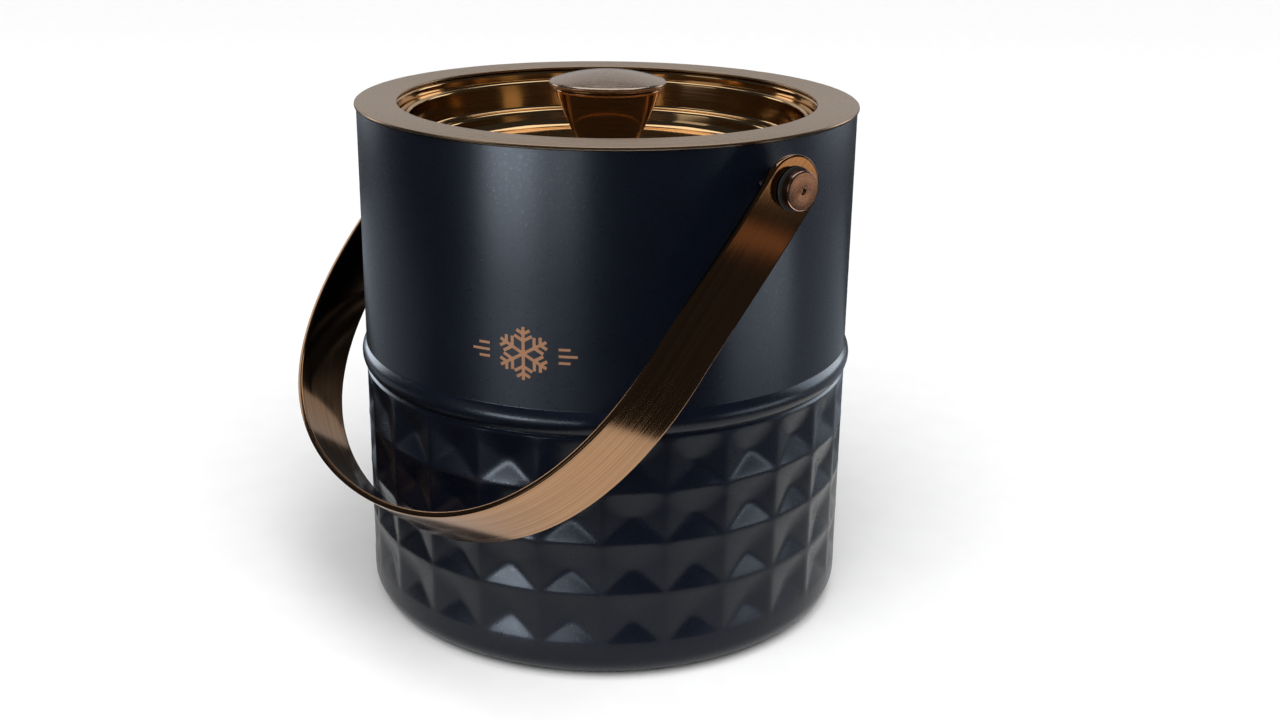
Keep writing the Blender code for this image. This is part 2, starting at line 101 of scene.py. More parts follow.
LID_DISC_RADIUS = 0.032
LID_DISC_RISE = 0.0008
LID_DISC_ROUND = 0.0006
PLUG_CORNER = 0.004
SEAL_EDGE = 0.0003
SEAL_INNER_EDGE = 0.0002
SCREW_HOLE = 0.0028

# Knob
CAP_EDGE = 0.202            # height of the cap's widest line
CAP_LIP = 0.0006            # from the dome's foot out to the widest line
CAP_SHOULDER = 0.0008       # from the widest line up to the dome's foot
CAP_UNDERCUT = 0.0016       # in to the cap's underside
CAP_STEPS = ((0.0, 0.0002, 0.0006), (0.0005, -0.0009, 0.0003), (0.0009, -0.0010, 0.0001))
STEM_LIP = 0.0008
STEM_LIP_ROUND = 0.0007
STEM_FOLD = 0.0004
STEM_WAIST_RADIUS = 0.0104
STEM_WAIST_RISE = 0.0030
STEM_WAIST_ROUND = 0.0022
STEM_FOOT_RADIUS = 0.0118
STEM_FOOT_EDGE = 0.0012
SPIGOT_RADIUS = 0.008
SPIGOT_LENGTH = 0.0035
SPIGOT_GAP = 0.0003
SPIGOT_END_GAP = 0.0005

# Handle and pivots
REST_ANGLE = math.radians(39.9)     # from straight down, towards -Y
STRAP_SHEET = 0.0023
STRAP_WIDTH = 0.0226
STRAP_DROP = 0.1627
STRAP_BEND_START = 0.070
STRAP_LEAN = 0.0013
STRAP_ARM_PULL = 0.0755
STRAP_BASE_PULL = 0.0442
STRAP_EDGE = 0.0005         # rounding of the strap's long edges
EYE_STRAIGHT = 0.014
DIMPLE_RADIUS = 0.0012
DIMPLE_DEPTH = 0.0008
DIMPLE_EDGE = 0.0002
STUD_SHANK = 0.0024
STUD_EDGE = 0.0006
STUD_BACK_EDGE = 0.0003
STUD_TIP_EDGE = 0.0005
WASHER_EDGE = 0.0002
SPACER_EDGE = 0.0005
PIVOT_GAP = 0.0003          # from the washer to the stud's head

# Generic motif on the wall
MOTIF_TURN = math.radians(-52.8)
MOTIF_HEIGHT = 0.124
MOTIF_ARM = 0.0095
MOTIF_LINE = 0.0011
MOTIF_PROUD = 0.00006
BRANCHES = ((0.48, 0.32), (0.74, 0.22))     # place along the arm and length, as shares of the arm
BRANCH_TURN = math.radians(60)
BAR_NEAR = 0.0125
BAR_FAR = 0.0190
BAR_SHORT = 0.87            # length of the outer bars' ends, as a share of the middle one's
BAR_PITCH = 0.0024
BAR_LINE = 0.8              # thickness, as a share of the star's

# Camera, from the bucket's axis
CAMERA_TURN = math.radians(-35.38)
CAMERA_DISTANCE = 0.5949
CAMERA_HEIGHT = 0.2966
CAMERA_PITCH = 0.3329
CAMERA_YAW = 0.0228
CAMERA_ROLL = 0.0131
CAMERA_LENS = 44.12         # millimetres, as is the sensor
CAMERA_SENSOR = 36.0

# Stage
SHEET_RADIUS = 0.19
SHEET_PLACE = (0.030, 0.020)    # right of the axis and towards the camera
FLOOR_RADIUS = 14.0
FLOOR_DROP = -0.0002
BACKDROP_TOP = 8.0
BACKDROP_GLOW = 0.95

# Lights
WHITE = (1.0, 1.0, 1.0)
COOL = (0.76, 0.87, 1.0)
WARM = (1.0, 0.76, 0.52)
EMBER = (1.0, 0.52, 0.24)
LIGHT_TARGET = 0.10         # height that the panels face
# Each panel's degrees to the right of the camera's line, distance and height, then its own width and
# height, its radiance and colour, and the one piece it lights
PANELS = (
    ("key", -40, 0.95, 0.045, 0.38, 0.08, 42.0, COOL, "shell"),
    ("key_wing", -18, 0.95, 0.045, 0.24, 0.08, 18.0, COOL, "shell"),
    ("right_limb", 118, 1.3, 0.40, 1.0, 0.8, 5.0, COOL, "shell"),
    ("left_limb", -135, 1.3, 0.40, 0.6, 0.8, 6.0, COOL, "shell"),
    ("overhead", 180, 0.45, 1.5, 1.6, 0.85, 1.4, WHITE, None),
    ("back", 180, 1.6, 0.75, 2.6, 1.1, 0.42, WHITE, None),
    ("right_back", 125, 1.3, 0.35, 0.5, 0.7, 1.4, WHITE, None),
    ("left_back", -125, 1.3, 0.35, 0.4, 0.7, 1.4, WHITE, None),
    ("left", -60, 1.2, 0.45, 0.5, 0.7, 0.45, WHITE, None),
    ("right", 67, 0.50, 0.035, 0.30, 0.06, 7.0, COOL, "shell"),
    ("right_low", 72, 0.75, 0.06, 0.12, 0.05, 1.1, WARM, None),
    ("arm_glow", 67, 0.60, 0.022, 0.09, 0.025, 0.3, EMBER, "strap"),
)
GROUND_PANELS = (("right_ground", 108), ("left_ground", -122))
GROUND_DISTANCE = 0.48
GROUND_HEIGHT = 0.004
GROUND_SIZE = 0.5
GROUND_RADIANCE = 0.5
CEILING_ENERGY = 4.4
CEILING_ANGLE = math.radians(70)
CEILING_TILT = math.radians(30)
WORLD_COLOUR = (0.96, 0.98, 1.0, 1.0)
WORLD_STRENGTH = 0.03

TURN_STEPS = 256
CELL_STEPS = 18             # around one cell, and as many up it
SMALL_STEPS = 64


# --- outlines -------------------------------------------------------------------------

def arc(centre, radius, start, end, segments):
    angles = [math.radians(start + (end - start) * i / segments) for i in range(segments + 1)]
    return [(centre[0] + radius * math.cos(a), centre[1] + radius * math.sin(a)) for a in angles]


def softened(points, closed=False):
    """An outline from (radius, height, rounding) points, each corner an arc of its rounding."""
    made = []
    count = len(points)
    for i, (r, z, rounding) in enumerate(points):
        here = Vector((r, z))
        at_end = not closed and i in (0, count - 1)
        if at_end or rounding == 0.0:
            made.append((r, z))
            continue
        back = Vector(points[i - 1][:2]) - here
        ahead = Vector(points[(i + 1) % count][:2]) - here
        half = back.angle(ahead) / 2
        reach = min(rounding / math.tan(half), 0.49 * back.length, 0.49 * ahead.length)
        radius = reach * math.tan(half)
        middle = here + (back.normalized() + ahead.normalized()).normalized() * (radius / math.sin(half))
        first = here + back.normalized() * reach - middle
        last = here + ahead.normalized() * reach - middle
        start = math.atan2(first.y, first.x)
        turn = (math.atan2(last.y, last.x) - start + math.pi) % (2 * math.pi) - math.pi
        pieces = max(3, int(abs(math.degrees(turn)) / 9))
        for step in range(pieces + 1):
            angle = start + turn * step / pieces
            made.append((middle.x + radius * math.cos(angle), middle.y + radius * math.sin(angle)))
    return made


def thickened(points, thickness):
    """A closed outline: the points, then the same line offset to its right on the way back."""
    offset = []
    for i, point in enumerate(points):
        here = Vector(point)
        sides = []
        if i > 0:
            sides.append((here - Vector(points[i - 1])).normalized())
        if i < len(points) - 1:
            sides.append((Vector(points[i + 1]) - here).normalized())
        along = sum(sides, Vector((0.0, 0.0))).normalized()
        stretch = 1 / max(along.dot(sides[0]), 0.5)
        offset.append((here.x + along.y * thickness * stretch, here.y - along.x * thickness * stretch))
    return list(points) + offset[::-1]


# --- meshes ---------------------------------------------------------------------------

def mesh_object(name, verts, faces, crease=32):
    mesh = bpy.data.meshes.new(name)
    mesh.from_pydata(verts, [], faces)
    mesh.validate()
    mesh.shade_smooth()
    mesh.set_sharp_from_angle(angle=math.radians(crease))
    item = bpy.data.objects.new(name, mesh)
    bpy.context.scene.collection.objects.link(item)
    return item


def turned(name, outline, steps=TURN_STEPS, closed=True, pressed=None, crease=32):
    """Turns an outline, run clockwise with the radius to the right, about Z.

    pressed(angle, height) gives how far a point moves towards the axis."""
    verts = []
    rows = []
    for r, z in outline:
        if r < 1e-7:
            verts.append((0.0, 0.0, z))
            rows.append([len(verts) - 1] * steps)
            continue
        first = len(verts)
        for i in range(steps):
            angle = 2 * math.pi * i / steps
            radius = r - (pressed(angle, z) if pressed else 0.0)
            verts.append((radius * math.cos(angle), radius * math.sin(angle), z))
        rows.append(list(range(first, first + steps)))
    faces = []
    pairs = list(zip(rows, rows[1:]))
    if closed and rows[0][0] != rows[0][1]:
        pairs.append((rows[-1], rows[0]))
    for upper, lower in pairs:
        if upper[0] == upper[1] and lower[0] == lower[1]:
            continue
        for i in range(steps):
            j = (i + 1) % steps
            corners = [upper[i], lower[i], lower[j], upper[j]]
            faces.append([v for k, v in enumerate(corners) if v != corners[k - 1]])
    return mesh_object(name, verts, faces, crease)


def fitted(item, body, slot, material, *nodes):
    """Puts a finished piece in place of its CAD nodes."""
    item.data.materials.clear()
    item.data.materials.append(material)
    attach(item, body)
    if nodes:
        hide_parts(*nodes)
    return item


# --- materials ------------------------------------------------------------------------

class Finish:
    """A Principled material whose colour, roughness and bump come from one pattern."""

    def __init__(self, name, metallic, **constants):
        self.material = bpy.data.materials.new(name)
        self.material.use_nodes = True
        self.tree = self.material.node_tree
        self.shader = self.tree.nodes["Principled BSDF"]
        self.shader.inputs["Metallic"].default_value = metallic
        for socket, value in constants.items():
            self.shader.inputs[socket.replace("_", " ")].default_value = value

    def add(self, kind, **settings):
        node = self.tree.nodes.new(kind)
        for name, value in settings.items():
            setattr(node, name, value)
        return node

    def join(self, source, target):
        self.tree.links.new(source, target)

    def math(self, operation, first, second=None):
        node = self.add("ShaderNodeMath", operation=operation)
        for socket, value in zip(node.inputs, (first, second)):
            if isinstance(value, bpy.types.NodeSocket):
                self.join(value, socket)
            elif value is not None:
                socket.default_value = value
        return node.outputs[0]

    def place(self):
        return self.add("ShaderNodeTexCoord").outputs["Object"]

    def noise(self, vector, scale, detail=2.0, w=None):
        node = self.add("ShaderNodeTexNoise", noise_dimensions="3D" if w is None else "4D")
        node.inputs["Scale"].default_value = scale
        node.inputs["Detail"].default_value = detail
        self.join(vector, node.inputs["Vector"])
        if w is not None:
            self.join(w, node.inputs["W"])
        return node.outputs[0]

    def turned_grain(self, fineness, length):
        """Fine lines round the piece's Z axis. length is how many of them join up in a turn."""
        split = self.add("ShaderNodeSeparateXYZ")
        self.join(self.place(), split.inputs[0])
        x, y, z = split.outputs
        squares = [self.math("POWER", axis, 2.0) for axis in (x, y)]
        radius = self.math("SQRT", self.math("ADD", *squares))
        spot = self.add("ShaderNodeCombineXYZ")
        self.join(self.math("MULTIPLY", self.math("DIVIDE", x, radius), length), spot.inputs[0])
        self.join(self.math("MULTIPLY", self.math("DIVIDE", y, radius), length), spot.inputs[1])
        self.join(self.math("MULTIPLY", radius, fineness), spot.inputs[2])
        return self.noise(spot.outputs[0], 1.0, 3.0, self.math("MULTIPLY", z, fineness))

    def straight_grain(self, fineness, length):
        """Fine lines along the first coordinate of the piece's UV map, which is in metres."""
        layer = self.add("ShaderNodeUVMap", uv_map="flat")
        stretch = self.add("ShaderNodeMapping")
        stretch.inputs["Scale"].default_value = (length, fineness, 1.0)
        self.join(layer.outputs[0], stretch.inputs["Vector"])
        return self.noise(stretch.outputs[0], 1.0, 3.0)

    def ranged(self, value, low, high, start=0.3, end=0.7):
        node = self.add("ShaderNodeMapRange")
        self.join(value, node.inputs["Value"])
        for socket, number in zip(("From Min", "From Max", "To Min", "To Max"), (start, end, low, high)):
            node.inputs[socket].default_value = number
        return node.outputs[0]

    def colours(self, value, low, high):
        node = self.add("ShaderNodeMix", data_type="RGBA")
        self.join(self.ranged(value, 0.0, 1.0), node.inputs["Factor"])
        for socket in node.inputs:
            if socket.type == "RGBA":
                socket.default_value = (*(low if socket.name == "A" else high), 1.0)
        self.join(next(s for s in node.outputs if s.type == "RGBA"), self.shader.inputs["Base Color"])

    def roughness(self, value, low, high):
        self.join(self.ranged(value, low, high), self.shader.inputs["Roughness"])

    def bump(self, value, height):
        node = self.add("ShaderNodeBump")
        node.inputs["Distance"].default_value = height
        self.join(value, node.inputs["Height"])
        self.join(node.outputs[0], self.shader.inputs["Normal"])

    def tangent(self, **settings):
        self.join(self.add("ShaderNodeTangent", **settings).outputs[0], self.shader.inputs["Tangent"])


def shell_coating():
    """Near-black satin coat with the faint orange peel of a sprayed finish and a slow drift of tone."""
    finish = Finish("shell_coating", 0.0, Specular_IOR_Level=0.22)
    peel = finish.noise(finish.place(), 800.0, 2.0)
    drift = finish.noise(finish.place(), 30.0, 3.0)
    finish.colours(drift, (0.0024, 0.0036, 0.0078), (0.0032, 0.0047, 0.0098))
    finish.roughness(peel, 0.27, 0.30)
    finish.bump(peel, 0.000011)
    return finish.material


def turned_metal(name, low, high, rough, fineness, length, height, anisotropic=0.0):
    """Metal with fine lines round its axis: colour from low to high, rough a range, height the bump's."""
    finish = Finish(name, 1.0, Anisotropic=anisotropic, Anisotropic_Rotation=0.25)
    grain = finish.turned_grain(fineness, length)
    finish.colours(grain, low, high)
    finish.roughness(grain, *rough)
    finish.bump(grain, height)
    if anisotropic:
        finish.tangent(direction_type="RADIAL", axis="Z")
    return finish.material


def strap_metal():
    """Bronze brushed lengthwise, so that it mirrors sharply along its length and softly across."""
    finish = Finish("strap_metal", 1.0, Anisotropic=0.75, Anisotropic_Rotation=0.25)
    grain = finish.straight_grain(1700.0, 9.0)
    finish.colours(grain, (0.26, 0.145, 0.078), (0.47, 0.275, 0.15))
    finish.roughness(grain, 0.07, 0.13)
    finish.bump(grain, 0.000008)
    finish.tangent(direction_type="UV_MAP", uv_map="flat")
    return finish.material


def textured(name, metallic, low, high, rough, scale, height, **constants):
    """A fine even texture all over, for rubber, nylon, silicone, foam and plain metal."""
    finish = Finish(name, metallic, **constants)
    texture = finish.noise(finish.place(), scale, 3.0)
    finish.colours(texture, low, high)
    finish.roughness(texture, *rough)
    finish.bump(texture, height)
    return finish.material


def all_finishes():
    return {
        "shell_coating": shell_coating(),
        "rim_metal": turned_metal("rim_metal", (0.49, 0.345, 0.23), (0.60, 0.43, 0.29),
                                  (0.24, 0.34), 2600.0, 5.0, 0.00001, 0.5),
        "copper_lining": turned_metal("copper_lining", (0.72, 0.465, 0.23), (0.79, 0.53, 0.28),
                                      (0.08, 0.14), 1500.0, 2.0, 0.0000025),
        "knob_metal": turned_metal("knob_metal", (0.62, 0.34, 0.17), (0.72, 0.42, 0.22),
                                   (0.06, 0.12), 2200.0, 2.0, 0.000004),
        "cap_metal": turned_metal("cap_metal", (0.52, 0.40, 0.32), (0.64, 0.50, 0.405),
                                  (0.20, 0.30), 3000.0, 4.0, 0.000009, 0.5),
        "stud_metal": turned_metal("stud_metal", (0.50, 0.30, 0.235), (0.68, 0.45, 0.37),
                                   (0.12, 0.26), 4200.0, 1.2, 0.00002, 0.7),
        "strap_metal": strap_metal(),
        "motif_metal": textured("motif_metal", 0.3, (0.40, 0.20, 0.11), (0.48, 0.25, 0.14),
                                (0.38, 0.48), 1600.0, 0.000008),
        "steel": textured("steel", 1.0, (0.42, 0.42, 0.43), (0.58, 0.58, 0.59),
                          (0.26, 0.42), 1400.0, 0.00001),
        "rubber": textured("rubber", 0.0, (0.012, 0.012, 0.012), (0.022, 0.022, 0.021),
                           (0.70, 0.88), 1800.0, 0.00005),
        "silicone": textured("silicone", 0.0, (0.55, 0.53, 0.49), (0.66, 0.64, 0.60),
                             (0.42, 0.55), 900.0, 0.00002, Transmission_Weight=0.25),
        "nylon": textured("nylon", 0.0, (0.014, 0.014, 0.014), (0.024, 0.023, 0.022),
                          (0.38, 0.52), 1500.0, 0.00002),
        "foam": textured("foam", 0.0, (0.72, 0.71, 0.68), (0.84, 0.83, 0.80),
                         (0.85, 0.95), 1100.0, 0.0002),
    }


# --- shell ----------------------------------------------------------------------------

def rounded_size(value, rounding):
    """The size of a value, with its sharp turn at zero rounded off."""
    return math.sqrt(value * value + rounding * rounding) - rounding


def relief(angle, height):
    """Depth of the four-sided hollow pressed into each cell, crisp below its middle and soft above."""
    if not EMBOSS_BOTTOM < height < EMBOSS_TOP:
        return 0.0
    column = ((angle - EMBOSS_TURN) * EMBOSS_COLUMNS / (2 * math.pi) + 0.5) % 1.0
    row = (height - EMBOSS_BOTTOM) * EMBOSS_ROWS / (EMBOSS_TOP - EMBOSS_BOTTOM) % 1.0
    across = rounded_size(column * 2 - 1, MIDDLE_ROUND)
    up = rounded_size(row * 2 - 1, MIDDLE_ROUND)
    upper = min(max(row * 2 - 0.5, 0.0), 1.0)
    fold = LOW_FOLD + (HIGH_FOLD - LOW_FOLD) * upper * upper * (3 - 2 * upper)
    overlap = max(fold - abs(across - up), 0.0) / fold
    share = 1 - max(across, up) - overlap * overlap * fold / 4
    whole = rounded_size(1.0, CREST_ROUND)
    return EMBOSS_DEPTH * rounded_size(max(share, 0.0), CREST_ROUND) / whole


def shell_face(bead_radius, top, foot, rise):
    """Outer face from the rim down. rise is the number of points up each cell."""
    bulge = bead_radius - UPPER_RADIUS
    swell = (BEAD_HALF_WIDTH ** 2 + bulge ** 2) / (2 * bulge)
    half = math.degrees(math.asin(BEAD_HALF_WIDTH / swell))
    bead = arc((bead_radius - swell, BEAD_HEIGHT), swell, half, -half, 10)
    groove = BEAD_HEIGHT - BEAD_HALF_WIDTH - GROOVE_DEPTH / 2
    upper = [(UPPER_RADIUS, top, 0.0), (UPPER_RADIUS, (top + BEAD_HEIGHT) / 2, 0.0)]
    upper += [(*bead[0], BEAD_CREASE)] + [(*point, 0.0) for point in bead[1:-1]]
    upper += [(*bead[-1], BEAD_CREASE / 2), (RIDGE_RADIUS - GROOVE_DEPTH, groove, BEAD_CREASE)]
    upper += [(RIDGE_RADIUS, EMBOSS_TOP, BEAD_CREASE / 2)]
    upper += [(RIDGE_RADIUS, EMBOSS_TOP - EMBOSS_LAND, 0.0)]
    levels = rise * EMBOSS_ROWS
    span = EMBOSS_TOP - EMBOSS_BOTTOM
    points = softened(upper)[:-1]
    points += [(RIDGE_RADIUS, EMBOSS_TOP - span * i / levels) for i in range(1, levels + 1)]
    points += arc((RIDGE_RADIUS - BASE_CORNER, foot + BASE_CORNER), BASE_CORNER, 0, -90, 14)
    points += [(BASE_OPENING, foot)]
    return points


def outer_shell(material):
    low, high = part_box("outer_shell")
    face = shell_face(high.x, high.z, low.z, CELL_STEPS)
    inside = thickened(shell_face(high.x, high.z, low.z, 8), SHELL_SHEET)
    back = inside[len(inside) // 2:]
    item = turned("shell_skin", face + back, EMBOSS_COLUMNS * CELL_STEPS, pressed=relief, crease=60)
    return fitted(item, "bucket", "shell_coating", material, "outer_shell")


def rim_ring(material):
    low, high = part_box("rim_ring")
    under = high.z - RIM_SHEET
    skirt = UPPER_RADIUS - SHELL_SHEET - SKIRT_GAP
    inside = skirt - SKIRT_SHEET
    points = [(OPENING_RADIUS, high.z, RIM_EDGE), (high.x, high.z, RIM_EDGE), (high.x, under, RIM_EDGE)]
    points += [(skirt, under, 0.0), (skirt, low.z, 0.0), (inside, low.z, 0.0)]
    points += [(inside, under, 0.0), (OPENING_RADIUS, under, RIM_EDGE)]
    item = turned("rim_band", softened(points, closed=True))
    fitted(item, "bucket", "rim_metal", material, "rim_ring")


def inner_liner(material):
    low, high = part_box("inner_liner")
    floor = low.z + SHEET
    ledge = OPENING_RADIUS + LEDGE_GAP
    points = [(0.0, floor, 0.0), (LINER_RADIUS - LINER_TAPER, floor, LINER_CORNER)]
    points += [(LINER_RADIUS, LEDGE_HEIGHT, LEDGE_ROUND), (ledge, LEDGE_HEIGHT, LEDGE_FOLD)]
    points += [(ledge, high.z, EDGE_ROLL), (high.x, high.z, 0.0)]
    item = turned("liner_bowl", thickened(softened(points), SHEET))
    fitted(item, "bucket", "copper_lining", material, "inner_liner")


def base_pad(material):
    """Moulded disc with shallow rings on its underside."""
    low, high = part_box("base_pad")
    points = [(0.0, high.z), (high.x, high.z), (high.x, low.z + PAD_EDGE), (high.x - PAD_EDGE, low.z)]
    roof = low.z + PAD_RING_DEPTH
    for i in range(PAD_RINGS):
        outer = high.x * (1 - (i + 0.6) / (PAD_RINGS + 1))
        inner = outer - PAD_RING_WIDTH
        points += [(outer, low.z), (outer - PAD_EDGE, roof), (inner + PAD_EDGE, roof), (inner, low.z)]
    points.append((0.0, low.z))
    fitted(turned("foot_pad", points, closed=False), "bucket", "rubber", material, "base_pad")


# --- lid and knob ---------------------------------------------------------------------

def lid_pan(material):
    low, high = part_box("lid_pan")
    floor = low.z + SHEET
    disc = floor + LID_DISC_RISE
    points = [(SCREW_HOLE, disc, 0.0), (LID_DISC_RADIUS, disc, LID_DISC_ROUND)]
    points += [(LID_DISC_RADIUS + LID_DISC_RISE, floor, LID_DISC_ROUND)]
    points += [(LID_STEP_RADIUS - LID_STEP_LEAN, floor, LID_CORNER)]
    points += [(LID_STEP_RADIUS, LID_STEP_HEIGHT, LID_STEP_ROUND)]
    points += [(LID_WALL_FOOT, LID_STEP_HEIGHT, LID_WALL_ROUND)]
    points += [(LID_WALL_RADIUS, high.z, EDGE_ROLL), (high.x, high.z, EDGE_ROLL)]
    points += [(high.x, high.z - EDGE_ROLL, 0.0)]
    item = turned("lid_dish", thickened(softened(points), SHEET))
    fitted(item, "lid", "copper_lining", material, "lid_pan")


def lid_underside(material):
    low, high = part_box("lid_underside")
    inside, floor = high.x - SHEET, low.z + SHEET
    points = [(SCREW_HOLE, floor, 0.0), (inside, floor, PLUG_CORNER), (inside, high.z, 0.0)]
    item = turned("lid_plug", thickened(softened(points), SHEET))
    fitted(item, "lid", "copper_lining", material, "lid_underside")


def lid_seal(material):
    low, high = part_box("lid_seal")
    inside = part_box("lid_underside")[1].x + SHEET
    points = [(inside, high.z, SEAL_INNER_EDGE), (high.x, high.z, SEAL_EDGE)]
    points += [(high.x, low.z, SEAL_EDGE), (inside, low.z, SEAL_INNER_EDGE)]
    item = turned("seal_ring", softened(points, closed=True))
    fitted(item, "lid", "silicone", material, "lid_seal")


def knob_stem(material):
    low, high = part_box("knob_stem")
    socket = SPIGOT_RADIUS + SPIGOT_GAP
    socket_floor = high.z - SPIGOT_LENGTH - SPIGOT_END_GAP
    points = [(0.0, socket_floor, 0.0), (socket, socket_floor, 0.0), (socket, high.z, 0.0)]
    points += [(high.x, high.z, STEM_LIP_ROUND), (high.x, high.z - STEM_LIP, STEM_FOLD)]
    points += [(STEM_WAIST_RADIUS, low.z + STEM_WAIST_RISE, STEM_WAIST_ROUND)]
    points += [(STEM_FOOT_RADIUS, low.z + STEM_FOOT_EDGE, STEM_FOLD)]
    points += [(STEM_FOOT_RADIUS, low.z, STEM_FOLD / 2), (0.0, low.z, 0.0)]
    item = turned("knob_body", softened(points), closed=False)
    fitted(item, "lid", "knob_metal", material, "knob_stem")


def knob_cap(material):
    low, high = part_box("knob_cap")
    radius = high.x
    reach = radius - CAP_LIP
    rise = high.z - CAP_EDGE - CAP_SHOULDER
    swell = (reach ** 2 + rise ** 2) / (2 * rise)
    edge = 90 - math.degrees(math.asin(reach / swell))
    dome = arc((0.0, high.z - swell), swell, 90, edge, 40)
    bottom = low.z + SPIGOT_LENGTH
    rest = [(*dome[-1], 0.0)]
    rest += [(radius - inset, CAP_EDGE + up, rounding) for inset, up, rounding in CAP_STEPS]
    rest += [(radius - CAP_UNDERCUT, bottom, STEM_FOLD / 2)]
    rest += [(SPIGOT_RADIUS, bottom, 0.0), (SPIGOT_RADIUS, low.z, 0.0), (0.0, low.z, 0.0)]
    item = turned("knob_top", dome[:-1] + softened(rest), closed=False)
    fitted(item, "lid", "cap_metal", material, "knob_cap")


# --- handle ---------------------------------------------------------------------------

def bezier(a, b, c, d, count):
    points = []
    for i in range(count):
        t = i / count
        points.append(a * (1 - t) ** 3 + 3 * b * t * (1 - t) ** 2 + 3 * c * t * t * (1 - t) + d * t ** 3)
    return points


def strap_route(eye):
    """The strap's middle line in the handle's plane, its lengths from the low middle, and an eye's."""
    arm = eye - STRAP_LEAN
    third = (STRAP_BEND_START - EYE_STRAIGHT) / 3
    top = Vector((eye, STRAP_WIDTH))
    turn = Vector((eye, -EYE_STRAIGHT))
    bend = Vector((arm, -STRAP_BEND_START))
    low = Vector((0.0, -STRAP_DROP))
    pulls = low + Vector((STRAP_BASE_PULL, 0.0)), bend - Vector((0.0, STRAP_ARM_PULL))
    half = bezier(low, *pulls, bend, 240)
    half += bezier(bend, bend + Vector((0.0, third)), turn - Vector((0.0, third)), turn, 24)
    half += [turn, top]
    line = [Vector((-p.x, p.y)) for p in half[:0:-1]] + half
    lengths = [0.0]
    for a, b in zip(line, line[1:]):
        lengths.append(lengths[-1] + (b - a).length)
    middle = lengths[-1] / 2
    return line, [value - middle for value in lengths], middle - STRAP_WIDTH


def along_route(line, lengths, at):
    """Place and direction at a length along the route."""
    low, high = 0, len(lengths) - 1
    while high - low > 1:
        middle = (low + high) // 2
        if lengths[middle] <= at:
            low = middle
        else:
            high = middle
    share = (at - lengths[low]) / (lengths[high] - lengths[low])
    direction = (line[high] - line[low]).normalized()
    return line[low].lerp(line[high], share), direction


def handle_strap(material):
    """A flat bar with round ends, bent along the route."""
    joints = frame["record"]["behaviour"]["joints"]
    pivot = Vector(next(joint["pos_m"] for joint in joints if joint["type"] == "hinge"))
    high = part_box("handle_strap")[1]
    line, lengths, eye = strap_route(high.x - STRAP_SHEET / 2)
    radius = STRAP_WIDTH / 2
    edge = arc((STRAP_EDGE, STRAP_SHEET / 2 - STRAP_EDGE), STRAP_EDGE, 90, 180, 4)
    section = [(STRAP_EDGE * 1.6, STRAP_SHEET / 2)] + edge
    section += [(inset, -out) for inset, out in reversed(section)]
    run, bow = 220, 28
    outline = [(-eye + 2 * eye * i / run, radius, 0.0, 1.0) for i in range(run + 1)]
    for i in range(1, bow):
        angle = math.pi / 2 - math.pi * i / (2 * bow)
        outline.append((eye + radius * math.cos(angle), radius * math.sin(angle),
                        math.cos(angle), math.sin(angle)))
        outline.insert(0, (-eye - radius * math.cos(angle), radius * math.sin(angle),
                           -math.cos(angle), math.sin(angle)))
    tips = [(eye + radius, 0.0, 1.0, 0.0), (-eye - radius, 0.0, -1.0, 0.0)]
    loop = outline + [tips[0]] + [(s, -w, ds, -dw) for s, w, ds, dw in reversed(outline)] + [tips[1]]
    turn = Matrix.Translation(pivot) @ Matrix.Rotation(math.pi / 2 - REST_ANGLE, 4, "X")
    verts, flat = [], []
    for s, w, ds, dw in loop:
        for inset, out in section:
            at, side = s - ds * inset, w - dw * inset
            spot, direction = along_route(line, lengths, at)
            away = Vector((direction.y, -direction.x))
            spot = spot + away * out
            verts.append(turn @ Vector((spot.x, spot.y, side)))
            flat.append((at, side))
    depth, count = len(section), len(loop)
    faces = []
    for i in range(count):
        j = (i + 1) % count
        for k in range(depth - 1):
            faces.append([i * depth + k, j * depth + k, j * depth + k + 1, i * depth + k + 1])
    across = len(outline)
    for k in (0, depth - 1):
        for i in range(-1, across):
            near = [i % count, i + 1]
            far = [(2 * across - 1 - i) % count, (2 * across - i) % count]
            ring = [near[0] * depth + k, near[1] * depth + k, far[0] * depth + k, far[1] * depth + k]
            ring = [v for n, v in enumerate(ring) if v != ring[n - 1]]
            faces.append(ring[::-1] if k == 0 else ring)
    item = mesh_object("strap_bar", verts, faces, crease=40)
    layer = item.data.uv_layers.new(name="flat")
    for loop_item in item.data.loops:
        layer.data[loop_item.index].uv = flat[loop_item.vertex_index]
    return fitted(item, "handle", "strap_metal", material, "handle_strap")


def on_pivot(item, side, pivot):
    """Turns a piece made along Z to lie along the pivot axis."""
    item.matrix_world = Matrix.Translation(pivot) @ Matrix.Rotation(side * math.pi / 2, 4, "Y")


